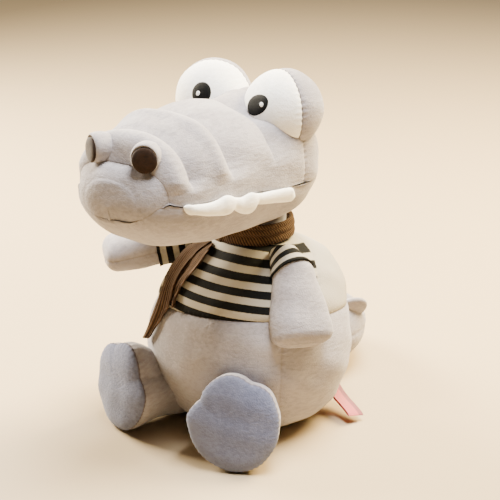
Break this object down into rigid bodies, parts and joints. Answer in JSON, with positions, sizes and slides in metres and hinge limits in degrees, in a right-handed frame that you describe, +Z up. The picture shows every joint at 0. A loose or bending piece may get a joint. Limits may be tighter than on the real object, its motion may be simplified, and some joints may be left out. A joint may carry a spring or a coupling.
{
  "type": "plush crocodile",
  "caption": "Sitting stuffed crocodile toy with a long snout, bulging eyes, striped shirt, brown corduroy scarf and a curled tail",
  "frame": {"origin": "middle of the seat, on the surface that the toy sits on", "axes": "the snout points along -Y, the left side of the toy is +X, up is +Z"},
  "size_m": [0.2376, 0.4019, 0.3408],
  "materials": {
    "grey_plush": "short pile plush, matte",
    "blue_grey_plush": "short pile plush, cooler and darker, matte",
    "white_plush": "short white plush, matte",
    "black_thread": "satin stitch embroidery in black thread",
    "brown_felt": "dark brown felt, matte",
    "brown_corduroy": "fine ribbed brown corduroy",
    "striped_knit": "fine knit, cream ground with black stripes",
    "pink_ribbon": "woven pink ribbon, slight sheen"
  },
  "bodies": {
    "torso": {"belly": "grey_plush", "shirt": "striped_knit", "scarf_wrap": "brown_corduroy"},
    "neck": {"neck": "grey_plush"},
    "head": {"lower_jaw": "grey_plush", "nose_panel": "grey_plush", "upper_head": "grey_plush", "left_eye_white": "white_plush", "left_eye_cap": "grey_plush", "left_pupil": "black_thread", "left_highlight": "white_plush", "right_eye_white": "white_plush", "right_eye_cap": "grey_plush", "right_pupil": "black_thread", "right_highlight": "white_plush", "left_nostril": "grey_plush", "left_nostril_felt": "brown_felt", "right_nostril": "grey_plush", "right_nostril_felt": "brown_felt", "left_teeth": "white_plush", "right_teeth": "white_plush"},
    "left_arm": {"left_sleeve": "striped_knit", "left_arm": "grey_plush"},
    "right_arm": {"right_sleeve": "striped_knit", "right_arm": "grey_plush"},
    "left_leg": {"left_leg": "grey_plush", "left_sole": "blue_grey_plush"},
    "right_leg": {"right_leg": "grey_plush", "right_sole": "blue_grey_plush"},
    "tail": {"tail": "grey_plush", "tail_fin_1": "grey_plush", "tail_fin_2": "grey_plush", "tail_fin_3": "grey_plush", "tail_fin_4": "grey_plush"},
    "scarf_ends": {"scarf_long_end": "brown_corduroy", "scarf_short_end": "brown_corduroy"},
    "tag": {"ribbon_tag": "pink_ribbon"}
  },
  "joints": [
    {"name": "head_turn", "type": "hinge", "parent": "torso", "child": "neck", "pos_m": [0, -0.004, 0.16], "axis": [0, 0, 1], "range_deg": [-15, 15], "stiffness_Nm_per_rad": 0.15},
    {"name": "head_nod", "type": "hinge", "parent": "neck", "child": "head", "pos_m": [0, 0.037, 0.213], "axis": [-1, 0, 0], "range_deg": [0, 10]},
    {"name": "left_arm_raise", "type": "hinge", "parent": "torso", "child": "left_arm", "pos_m": [0.04532, -0.01354, 0.17408], "axis": [-0.5131, -0.8342, 0.202], "range_deg": [0, 45]},
    {"name": "right_arm_lower", "type": "hinge", "parent": "torso", "child": "right_arm", "pos_m": [-0.06878, -0.03767, 0.14618], "axis": [0.6013, -0.7953, -0.077], "range_deg": [0, 40], "stiffness_Nm_per_rad": 0.02, "springref_deg": -11.46},
    {"name": "left_leg_lift", "type": "hinge", "parent": "torso", "child": "left_leg", "pos_m": [0.05082, -0.09212, 0.08162], "axis": [-0.93, -0.364, 0.051], "range_deg": [0, 20]},
    {"name": "right_leg_lift", "type": "hinge", "parent": "torso", "child": "right_leg", "pos_m": [-0.06182, -0.0859, 0.07737], "axis": [-0.9234, 0.3692, -0.105], "range_deg": [0, 20]},
    {"name": "tail_lift", "type": "hinge", "parent": "torso", "child": "tail", "pos_m": [0, 0.08661, 0.1017], "axis": [1, 0, 0], "range_deg": [0, 15]},
    {"name": "scarf_swing", "type": "hinge", "parent": "torso", "child": "scarf_ends", "pos_m": [-0.01841, -0.04175, 0.18159], "axis": [-0.9089, 0.417, 0.002], "range_deg": [0, 30]},
    {"name": "tag_flap", "type": "hinge", "parent": "torso", "child": "tag", "pos_m": [0.06104, 0.04507, 0.02294], "axis": [-0.3003, -0.861, 0.4105], "range_deg": [0, 20]}
  ]
}
